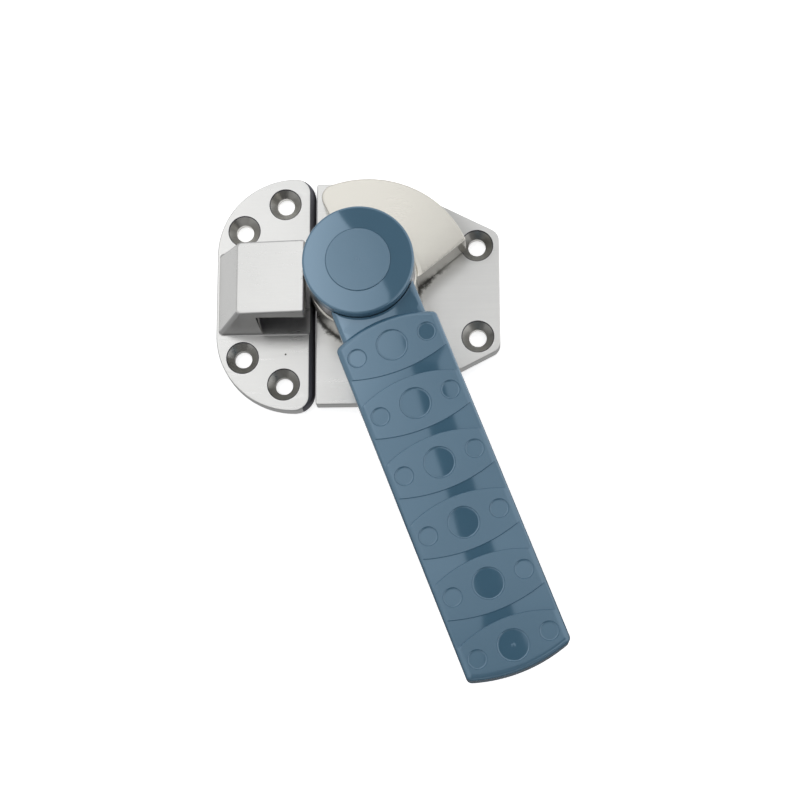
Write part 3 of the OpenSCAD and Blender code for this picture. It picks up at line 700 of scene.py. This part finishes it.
base_rings = [base_ring(BACK_CHAMFER, 0.0), base_ring(0.0, BACK_CHAMFER)]
base_rings += [base_ring(inset, PLATE_T - drop) for inset, drop in rounding(EDGE_R)]
base_plate = shape_object("base_plate_casting", loft(np.array(base_rings), True, True))
post_cutter = lathe([(0, -PAST), (POST_FLANGE_R, -PAST), (POST_FLANGE_R, POST_FLANGE_T),
                     (POST_R, POST_FLANGE_T), (POST_R, PLATE_T + PAST), (0, PLATE_T + PAST)])
stop_profile = [(0, -PAST), (STOP_HOLE_R, -PAST), (STOP_HOLE_R, PLATE_T + PAST), (0, PLATE_T + PAST)]
stop_cutter = lathe(stop_profile, (0.0, -STOP_R), 48)
cutters = together(post_cutter, stop_cutter, *[screw_cutter(x, y) for x, y in BASE_HOLES])
carve(base_plate, shape_object("base_cutters", cutters))
mark_casting(base_plate, BASE_HOLES)
show(base_plate, "mounted", cast_steel, "cast_steel", "base_plate")

# %% [markdown]
# The keeper is one casting: a plate whose edge beside the door is well
# rounded, and a hood. The hood leans in on three sides so that it leaves its
# mould, rises a little towards its open end and has a fillet at its foot. The
# slot is turned about the post's axis, 0.8 mm outside the wedge's rim.

# %% Keeper
KEEPER_RIGHT, KEEPER_LEFT, KEEPER_H = -20.4, -59.8, 96.2
KEEPER_ROUND_R, KEEPER_CORNER_R, LIP_R = 31.4, 8.0, 2.6
KEEPER_HOLES = [(-32.6, 37.35), (-32.6, -37.35), (-49.1, 26.3), (-49.1, -26.3)]


def keeper_ring(edge, lip, z):
    """The plate's outline drawn in by edge all round and by lip beside the door."""
    lip = max(edge, lip)
    left, right, half_height = KEEPER_LEFT + edge, KEEPER_RIGHT - lip, KEEPER_H / 2 - edge
    corners = [(left, -half_height), (right, -half_height), (right, half_height), (left, half_height)]
    radii = [KEEPER_ROUND_R - edge, KEEPER_CORNER_R - lip, KEEPER_CORNER_R - lip, KEEPER_ROUND_R - edge]
    return at_height(rounded(corners, radii, 0.0, 32), z)


def edge_inset(z):
    """How far the narrow rounding at the face has drawn in at a height."""
    rise = np.clip((z - (PLATE_T - EDGE_R)) / EDGE_R, 0.0, 1.0)
    return EDGE_R * (1 - np.sqrt(1 - rise**2))


keeper_rings = [keeper_ring(BACK_CHAMFER, BACK_CHAMFER, 0.0), keeper_ring(0.0, 0.0, BACK_CHAMFER)]
for lip, drop in rounding(LIP_R, 12):
    z = PLATE_T - drop
    keeper_rings.append(keeper_ring(edge_inset(z), lip, z))
keeper = shape_object("keeper_casting", loft(np.array(keeper_rings), True, True))

HOOD_LEFT, HOOD_RIGHT, HOOD_H, HOOD_RISE, HOOD_LEAN = -58.9, -22.2, 23.0, 2.6, 9.8
HOOD_FOOT, HOOD_TOP, HOOD_SOFT, HOOD_FILLET = 33.4, 29.2, 0.8, 0.6
HOOD_RADII = [2.0, 1.0, 1.0, 2.0]


def hood_outline(share, grow=0.0, inset=0.0):
    """The hood's outline at a share of its height, its long sides grown apart."""
    half_height = (HOOD_FOOT + (HOOD_TOP - HOOD_FOOT) * share) / 2 + grow
    back = HOOD_LEFT + HOOD_LEAN * share
    corners = [(back, -half_height), (HOOD_RIGHT, -half_height),
               (HOOD_RIGHT, half_height), (back, half_height)]
    return rounded(corners, HOOD_RADII, inset, 8)


def hood_roof(outline, drop):
    """Heights that rise from the hood's back to its open end, less a drop."""
    back = HOOD_LEFT + HOOD_LEAN
    rise = HOOD_RISE * (outline[:, 0] - back) / (HOOD_RIGHT - back)
    return PLATE_T + HOOD_H + rise - drop


hood_rings = [at_height(hood_outline(0.0, HOOD_FILLET), PLATE_T - PAST)]
for rise, grow in rounding(HOOD_FILLET, 6):
    hood_rings.append(at_height(hood_outline(rise / HOOD_H, grow), PLATE_T + rise))
for inset, drop in rounding(HOOD_SOFT):
    outline = hood_outline(1 - drop / HOOD_H, 0.0, inset)
    hood_rings.append(at_height(outline, hood_roof(outline, drop)))
carve(keeper, shape_object("hood", loft(np.array(hood_rings), True, True)), "UNION")

SLOT_LOW, SLOT_HIGH, SLOT_SOFT = 6.5, 25.4, 0.5
slot_profile = [(0.0, SLOT_LOW), (SLOT_R - SLOT_SOFT, SLOT_LOW), (SLOT_R, SLOT_LOW + SLOT_SOFT),
                (SLOT_R, SLOT_HIGH - SLOT_SOFT), (SLOT_R - SLOT_SOFT, SLOT_HIGH), (0.0, SLOT_HIGH)]
carve(keeper, shape_object("keeper_slot", lathe(slot_profile, steps=360)))
keeper_cutters = together(*[screw_cutter(x, y) for x, y in KEEPER_HOLES])
carve(keeper, shape_object("keeper_screws", keeper_cutters))
mark_casting(keeper, KEEPER_HOLES)
show(keeper, "mounted", cast_steel, "cast_steel", "keeper")

# %% [markdown]
# The cam is a hub with a wedge that rises round it. A point of the wedge's
# top is given by its share of the way from the thick end to the tip, and by
# its radius. The thick end is a straight line that passes the axis at a
# distance, and the tip is a radial line with a rounded corner, so each side's
# direction is worked out for every radius and the rest lies between them. The
# ramp levels off softly before the thick end, so that no crease shows there.

# %% Wedge cam
CAM_Z, HUB_Z, HUB_R, CAM_R, CAM_BORE_R = 6.9, 30.0, 21.2, 43.7, 10.46
TIP_A, HEEL_A, HEEL_FACE_A, TIP_R = 115.5, 22.7, 39.3, 5.0
CAM_FILLET, CAM_SOFT, CAM_CHAMFER, HUB_CHAMFER, HUB_SOFT = 2.4, 0.5, 0.3, 0.4, 0.8
RAMP_LOW, RAMP_HIGH, LEVELLING = 10.5, 15.4, 0.18
HUB_INSIDE = HUB_R - 2.0


def wedge_plan(inset):
    """Radius and direction of a grid of points over the wedge, drawn in by inset."""
    rim = CAM_R - inset
    centre_r = CAM_R - TIP_R
    tangent_r = np.sqrt(centre_r**2 - TIP_R**2)
    straight = [np.linspace(HUB_INSIDE, HUB_R, 3), np.linspace(HUB_R, HUB_R + CAM_FILLET, 8)[1:],
                np.linspace(HUB_R + CAM_FILLET, tangent_r, 14)[1:]]
    corner = tangent_r + (rim - tangent_r) * np.sin(np.radians(np.linspace(0.0, 90.0, 15)))[1:]
    radius = np.concatenate([*straight, corner])
    line = CAM_R * np.sin(np.radians(HEEL_FACE_A - HEEL_A)) - inset
    heel = np.radians(HEEL_FACE_A) - np.arcsin(line / radius)
    tip_line = np.radians(TIP_A) - np.arcsin(inset / radius)
    corner_a = np.radians(TIP_A) - np.arcsin(TIP_R / centre_r)
    reach = (radius**2 + centre_r**2 - (TIP_R - inset) ** 2) / (2 * radius * centre_r)
    rounded_tip = corner_a + np.arccos(np.clip(reach, -1.0, 1.0))
    tip = np.where(radius > tangent_r, np.minimum(rounded_tip, tip_line), tip_line)
    share = np.linspace(0.0, 1.0, 90)[:, None]
    direction = heel + (tip - heel) * share
    return np.broadcast_to(radius, direction.shape), direction


def wedge_top(radius, direction):
    """Height of the ramp, which grows with the turn from the tip and levels off
    along a parabola, with the fillet that carries it up the hub."""
    turn = (TIP_A - np.degrees(direction)) / (TIP_A - HEEL_A)
    late = np.clip(turn - 1 + LEVELLING, 0.0, 2 * LEVELLING)
    turn = np.minimum(turn, 1 + LEVELLING) - late**2 / (4 * LEVELLING)
    ramp = RAMP_LOW + (RAMP_HIGH - RAMP_LOW) * turn
    into = np.clip(HUB_R + CAM_FILLET - radius, 0.0, CAM_FILLET)
    return PLATE_T + ramp + CAM_FILLET - np.sqrt(CAM_FILLET**2 - into**2)


def wedge_points(inset, drop, floor_z=None):
    """A grid of points over the wedge, lowered by drop, or at one height."""
    radius, direction = wedge_plan(inset)
    z = wedge_top(radius, direction) - drop if floor_z is None else np.full(radius.shape, floor_z)
    return np.stack([radius * np.cos(direction), radius * np.sin(direction), z], axis=-1)


def rim_of(grid):
    """The points round the edge of a grid, in order."""
    return np.concatenate([grid[:-1, -1], grid[-1, ::-1][:-1], grid[::-1, 0][:-1], grid[0, :-1]])


top_grid = wedge_points(CAM_SOFT, 0.0)
wedge_rings = [rim_of(wedge_points(inset, drop)) for drop, inset in rounding(CAM_SOFT)]
wedge_rings.append(rim_of(wedge_points(0.0, 0.0, CAM_Z + CAM_CHAMFER)))
wedge_rings.append(rim_of(wedge_points(CAM_CHAMFER, 0.0, CAM_Z)))
wedge = together(loft(top_grid, closed=False), loft(np.array(wedge_rings), False, True))
hub_profile = [(CAM_BORE_R, CAM_Z), (HUB_R - HUB_CHAMFER, CAM_Z), (HUB_R, CAM_Z + HUB_CHAMFER)]
hub_profile += arc((HUB_R - HUB_SOFT, HUB_Z - HUB_SOFT), HUB_SOFT, 0, 90).tolist()
hub_profile.append((CAM_BORE_R, HUB_Z))
cam = shape_object("cam_casting", together(wedge, lathe(hub_profile, steps=192)))
show(cam, "handle", cam_steel, "polished_steel", "cam")

# %% [markdown]
# The grip carries six lens-shaped bands, each between two arcs, with three
# dimples. The rows of its top grid follow the arcs, so a band's edge is a clean
# step. The top is the inner part of the outline; a quarter circle is carried
# round it for the edge, with a fan of directions at each corner, and the sides
# run down from there.

# %% Grip outline
HANDLE_A = np.radians(-68.7)
BAND_FIRST, BAND_PITCH, BAND_COUNT = 34.8, 24.1, 6
BAND_HALF, BAND_H, NEAR_R, FAR_R = 10.3, 0.4, 45.4, 60.0
GRIP_START, GRIP_END, GRIP_W = 23.8, 164.6, 40.4
GRIP_TOP, GRIP_LOW, SPLIT_Z = 48.4, 27.4, 38.0
GRIP_EDGE_R, GRIP_BACK_R = 2.2, 7.0
band_centres = BAND_FIRST + BAND_PITCH * np.arange(BAND_COUNT)


def handle_object(name, shape):
    """A mesh object from a shape that is drawn with the handle along X, turned
    to where the handle rests."""
    points, faces = shape
    x = points[:, 0] * np.cos(HANDLE_A) - points[:, 1] * np.sin(HANDLE_A)
    y = points[:, 0] * np.sin(HANDLE_A) + points[:, 1] * np.cos(HANDLE_A)
    return shape_object(name, (np.stack([x, y, points[:, 2]], axis=-1), faces))


def start_arc(y, inset):
    """Where the grip's end beside the hub lies at a distance y, drawn in by inset."""
    return GRIP_START + NEAR_R - np.sqrt((NEAR_R - inset) ** 2 - y**2)


def end_arc(y, inset):
    """Where the grip's far end lies at a distance y, drawn in by inset."""
    return GRIP_END - FAR_R + np.sqrt((FAR_R - inset) ** 2 - y**2)


def near_edge(centre, y):
    """Where the edge of a band that looks towards the hub lies, at a distance y."""
    return centre - BAND_HALF + NEAR_R - np.sqrt(NEAR_R**2 - y**2)


def far_edge(centre, y):
    """Where the edge of a band that looks away from the hub lies, at a distance y."""
    return centre + BAND_HALF - FAR_R + np.sqrt(FAR_R**2 - y**2)


def grip_loop(x, y, inset):
    """The points round the grip's plan with the direction that each faces.

    x holds the rows' places at both long sides, y the columns' places at the
    ends. The ends face away from the centres of their arcs, the sides face
    sideways, and at each corner one point is repeated while its direction
    turns from the one to the other."""
    fan = np.linspace(0.0, 1.0, 10)[1:-1]
    end_x, start_x = end_arc(y, inset), start_arc(y, inset)
    end_face = np.stack([end_x - (GRIP_END - FAR_R), y], axis=-1)
    start_face = np.stack([start_x - (GRIP_START + NEAR_R), y], axis=-1)
    up, down = np.array([[0.0, 1.0]]), np.array([[0.0, -1.0]])

    def corner(point, first, second):
        """One point for each direction of a fan from the first to the second."""
        a, b = np.arctan2(first[1], first[0]), np.arctan2(second[1], second[0])
        turn = (b - a + np.pi) % (2 * np.pi) - np.pi
        angle = a + turn * fan
        return np.repeat([point], len(fan), axis=0), np.stack([np.cos(angle), np.sin(angle)], axis=-1)

    top_side = np.stack([x[:, 1], np.full(len(x), y[-1])], axis=-1)
    low_side = np.stack([x[::-1, 0], np.full(len(x), y[0])], axis=-1)
    end_side = np.stack([end_x[::-1], y[::-1]], axis=-1)
    start_side = np.stack([start_x, y], axis=-1)
    parts = [(top_side, np.repeat(up, len(x), axis=0)), corner(top_side[-1], up[0], end_face[-1]),
             (end_side, end_face[::-1]), corner(low_side[0], end_face[0], down[0]),
             (low_side, np.repeat(down, len(x), axis=0)), corner(low_side[-1], down[0], start_face[0]),
             (start_side, start_face), corner(start_side[-1], start_face[-1], up[0])]
    points = np.concatenate([part[0] for part in parts])
    facing = np.concatenate([part[1] for part in parts])
    return points, facing / np.linalg.norm(facing, axis=1, keepdims=True)


print("bands at", np.round(band_centres, 1), "mm from the post")

# %% [markdown]
# The strips between the bands are a level to which the rounded face is cut
# down. Because the level is a plane and the edge is round, a strip runs out
# where it meets the edge. A narrow smooth step joins the two levels. The
# dimples are cut afterwards with turned cutters, so their rims come out round
# and those beside the edge stay full circles.

# %% Grip relief
STEP = 0.24
BESIDE = 0.3
COLUMNS, BAND_ROWS, STRIP_ROWS = 90, 16, 7


def smooth_step(distance, width):
    """0 well inside, 1 well outside, with a smooth change over the width."""
    share = np.clip(distance / width + 0.5, 0.0, 1.0)
    return share * share * (3 - 2 * share)


def face_height(x, y, drop):
    """Height of the face at a place where its edge has dropped so far."""
    along, across = x[..., None], y[..., None]
    before, after = near_edge(band_centres, across) - along, along - far_edge(band_centres, across)
    end_band = (x < band_centres[0]) | (x > band_centres[-1])
    strip = np.where(end_band, 0.0, smooth_step(np.maximum(before, after).min(axis=-1), STEP))
    return np.minimum(GRIP_TOP - BAND_H * strip, GRIP_TOP - drop)


columns = np.linspace(-(GRIP_W / 2 - GRIP_EDGE_R), GRIP_W / 2 - GRIP_EDGE_R, COLUMNS)
step_rows = np.array([-BESIDE, -0.12, -0.05, 0.05, 0.12, BESIDE])[:, None]
rows = []
for number, centre in enumerate(band_centres):
    before, after = near_edge(centre, columns)[None, :], far_edge(centre, columns)[None, :]
    first, last = before + BESIDE, after - BESIDE
    if number == 0:
        first = start_arc(columns, GRIP_EDGE_R)[None, :]
    else:
        rows.append(before + step_rows[:-1])
    if number == BAND_COUNT - 1:
        last = end_arc(columns, GRIP_EDGE_R)[None, :]
    rows.append(first + (last - first) * np.linspace(0.0, 1.0, BAND_ROWS)[:, None])
    if number < BAND_COUNT - 1:
        rows.append(after + step_rows[1:])
        left, right = after + BESIDE, near_edge(centre + BAND_PITCH, columns)[None, :] - BESIDE
        rows.append(left + (right - left) * np.linspace(0.0, 1.0, STRIP_ROWS)[1:-1, None])
grip_x = np.concatenate(rows)
grip_y = np.broadcast_to(columns, grip_x.shape)
grip_top = np.stack([grip_x, grip_y, face_height(grip_x, grip_y, 0.0)], axis=-1)
print("grip top:", grip_x.shape, "points")

# %% Grip front
DIMPLE_R, SMALL_R, SMALL_Y = 6.0, 3.6, 14.0
DIMPLE_DEPTH, DIMPLE_WALL, GATE_H = 0.45, 0.5, 0.02
WALL_SLOPE = [(-0.30, 0.05), (-0.12, 0.17), (0.0, 0.34), (0.08, 0.47)]
POLISH_UNDER = GRIP_TOP - BAND_H / 2

loop_points, loop_facing = grip_loop(grip_x[:, [0, -1]], columns, GRIP_EDGE_R)
edge_angles = np.radians(np.concatenate([np.arange(0.0, 36.0, 3.0), np.linspace(36.0, 90.0, 8)]))
edge_rings = []
for t in edge_angles:
    plan = loop_points + loop_facing * GRIP_EDGE_R * np.sin(t)
    drop = GRIP_EDGE_R * (1 - np.cos(t))
    edge_rings.append(at_height(plan, face_height(plan[:, 0], plan[:, 1], drop)))
edge_rings.append(at_height(plan, SPLIT_Z))
grip_shape = together(loft(grip_top, closed=False), loft(np.array(edge_rings), False, True))
grip_front = handle_object("grip_front_moulding", grip_shape)


def dimple_cutter(x, y, radius, gate=0.0):
    """A turned cutter with a flat floor and a sloping wall, and a mark in the
    middle that is gate high, where the plastic entered the mould."""
    floor_z, wall, top_z = GRIP_TOP - DIMPLE_DEPTH, radius - DIMPLE_WALL, GRIP_TOP + PAST / 2
    profile = [(0.0, floor_z + gate), (0.4, floor_z + gate), (0.8, floor_z), (0.9, floor_z)]
    profile += [(wall - 0.15, floor_z), (wall, floor_z)]
    profile += [(radius + out, floor_z + up) for out, up in WALL_SLOPE]
    profile += [(radius + WALL_SLOPE[-1][0], top_z), (0.0, top_z)]
    return lathe(profile, (x, y), 120)


dimples = [dimple_cutter(x, 0.0, DIMPLE_R) for x in band_centres[:-1]]
dimples.append(dimple_cutter(band_centres[-1], 0.0, DIMPLE_R, GATE_H))
dimples += [dimple_cutter(x, side * SMALL_Y, SMALL_R) for x in band_centres for side in (-1, 1)]
carve(grip_front, handle_object("dimple_cutters", together(*dimples)))

NECK_W, NECK_TOP, NECK_LOW, NECK_EDGE_R, NECK_GAP = 33.3, 47.0, 29.0, 1.6, 0.3


def neck_ring(inset, z):
    """The neck's outline from the hub's circle to inside the grip."""
    y = np.linspace(-(NECK_W / 2 - inset), NECK_W / 2 - inset, 60)
    hub_x = np.sqrt((HUB_R + NECK_GAP) ** 2 - y**2)
    far_x = start_arc(y, 0.0) + GRIP_EDGE_R
    side = np.linspace(0.0, 1.0, 20)[1:-1]
    right_x = hub_x[-1] + (far_x[-1] - hub_x[-1]) * side
    left_x = far_x[0] + (hub_x[0] - far_x[0]) * side
    x = np.concatenate([hub_x, right_x, far_x[::-1], left_x])
    y = np.concatenate([y, np.full(len(side), y[-1]), y[::-1], np.full(len(side), y[0])])
    return at_height(np.stack([x, y], axis=-1), z)


def neck_half(name, face_z, out):
    """Half of the neck, from the split up (out is 1) or down (-1) to a face."""
    rings = [neck_ring(0.0, SPLIT_Z)]
    rings += [neck_ring(inset, face_z - out * drop) for inset, drop in rounding(NECK_EDGE_R)]
    return handle_object(name, loft(np.array(rings), True, True))


carve(grip_front, neck_half("neck_front", NECK_TOP, 1), "UNION")
mark_polish(grip_front, POLISH_UNDER)
show(grip_front, "handle", grip_nylon, "grip_plastic", "grip_front")

# %% [markdown]
# The back half follows the same outline and is rounder, for the fingers. Two
# counterbored holes take the screws that hold the halves on the steel bar.

# %% Grip back
HEAD_HOLE_R, SCREW_HOLE_R, HEAD_SINK, SCREW_END = 4.0, 2.2, 4.6, 8
SCREW_X = [70.45, 118.65]


def back_ring(inset, z):
    """The grip's plan drawn in by inset, with corners that turn sharp deeper in."""
    deep = max(inset, GRIP_EDGE_R)
    y = np.linspace(-(GRIP_W / 2 - deep), GRIP_W / 2 - deep, 41)
    share = np.linspace(0.0, 1.0, 61)[:, None]
    ends = np.array([[start_arc(y[0], deep), end_arc(y[0], deep)]])
    x = np.repeat(ends[:, :1] + (ends[:, 1:] - ends[:, :1]) * share, 2, axis=1)
    points, facing = grip_loop(x, y, deep)
    return at_height(points + facing * (deep - inset), z)


back_rings = [back_ring(0.0, SPLIT_Z)]
back_rings += [back_ring(inset, GRIP_LOW + rise) for inset, rise in rounding(GRIP_BACK_R, 12)]
grip_back = handle_object("grip_back_moulding", loft(np.array(back_rings), True, True))
carve(grip_back, neck_half("neck_back", NECK_LOW, -1), "UNION")
hole_profile = [(0.0, GRIP_LOW - PAST), (HEAD_HOLE_R, GRIP_LOW - PAST),
                (HEAD_HOLE_R, GRIP_LOW + HEAD_SINK), (SCREW_HOLE_R, GRIP_LOW + HEAD_SINK),
                (SCREW_HOLE_R, GRIP_LOW + SCREW_END), (0.0, GRIP_LOW + SCREW_END)]
holes = together(*[lathe(hole_profile, (x, 0.0), 64) for x in SCREW_X])
carve(grip_back, handle_object("grip_cutters", holes))
show(grip_back, "handle", grip_nylon, "grip_plastic", "grip_back")

# %% [markdown]
# The cap and its plug are turned shapes. The plug stands a little proud, and
# the fine gap round it is what draws the circle in the photograph. A small
# mark in its middle is where the plastic entered the mould.

# %% Hub cap and plug
RIM_Z, CAP_Z, CAP_EDGE_R, CAP_T, CAP_CHAMFER = 46.0, 52.0, 0.9, 2.4, 0.2
PLUG_R, PLUG_PROUD, PLUG_LEDGE, PLUG_EDGE_R = 12.3, 0.3, 1.4, 0.32
SPIGOT_R, SPIGOT_IN, SPIGOT_H = 16.98, 14.58, 3.5
RING_Z, RING_HALF, RING_DEPTH = 44.25, 0.8, 1.4
PLUG_GAP, HOLE_BREAK = 0.02, 0.08
GATE_MARK = [(0.0, 0.06), (0.35, 0.06), (0.7, 0.0), (0.9, 0.05), (1.1, 0.05), (1.3, 0.02)]

hole_r, ledge_z, under_z = PLUG_R + PLUG_GAP, CAP_Z - CAP_T / 2, CAP_Z - CAP_T
ring_in = SPIGOT_R - RING_DEPTH
cap_profile = [(SPIGOT_R, RIM_Z), (HUB_R - CAP_CHAMFER, RIM_Z), (HUB_R, RIM_Z + CAP_CHAMFER)]
cap_profile += arc((HUB_R - CAP_EDGE_R, CAP_Z - CAP_EDGE_R), CAP_EDGE_R, 0, 90).tolist()
cap_profile += [(hole_r + HOLE_BREAK, CAP_Z), (hole_r, CAP_Z - HOLE_BREAK), (hole_r, ledge_z),
                (hole_r - PLUG_LEDGE, ledge_z), (hole_r - PLUG_LEDGE, under_z),
                (SPIGOT_IN, under_z), (SPIGOT_IN, RIM_Z - SPIGOT_H), (SPIGOT_R, RIM_Z - SPIGOT_H),
                (SPIGOT_R, RING_Z - RING_HALF), (ring_in, RING_Z - RING_HALF),
                (ring_in, RING_Z + RING_HALF), (SPIGOT_R, RING_Z + RING_HALF)]
hub_cap = shape_object("hub_cap_moulding", lathe(cap_profile, steps=256))
mark_polish(hub_cap, CAP_Z + PAST)
show(hub_cap, "handle", grip_nylon, "grip_plastic", "hub_cap")

plug_top = CAP_Z + PLUG_PROUD
plug_edge = (PLUG_R - PLUG_EDGE_R, plug_top - PLUG_EDGE_R)
plug_profile = [(radius, plug_top - depth) for radius, depth in GATE_MARK]
plug_profile += arc(plug_edge, PLUG_EDGE_R, 90, 0, 5).tolist()
plug_profile += [(PLUG_R, ledge_z), (PLUG_R - PLUG_LEDGE, ledge_z),
                 (PLUG_R - PLUG_LEDGE, under_z), (0.0, under_z)]
hub_plug = shape_object("hub_plug_moulding", lathe(plug_profile, steps=256))
show(hub_plug, "handle", grip_nylon, "grip_plastic", "hub_plug")

# %% [markdown]
# The other parts are turned pins, washers, bushes and screws whose packed
# shape is right, so they keep it and only get a finish.

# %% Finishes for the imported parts
PACKED = {
    turned_steel: ["pivot_post", "stop_pin", "drive_dowels", "retaining_washer",
                   "retaining_screw", "grip_screws"],
    core_steel: ["handle_core"],
    spring_steel: ["disc_springs", "lock_washer"],
    bronze: ["lower_bush", "upper_bush", "top_washer"],
    brass: ["grip_inserts"],
    bearing_plastic: ["thrust_washer"],
    ring_rubber: ["cap_ring"],
}
for finish, nodes in PACKED.items():
    for node in nodes:
        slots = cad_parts[node].data.materials
        slots.clear()
        slots.append(finish)
    print(finish.name, "on", ", ".join(nodes))
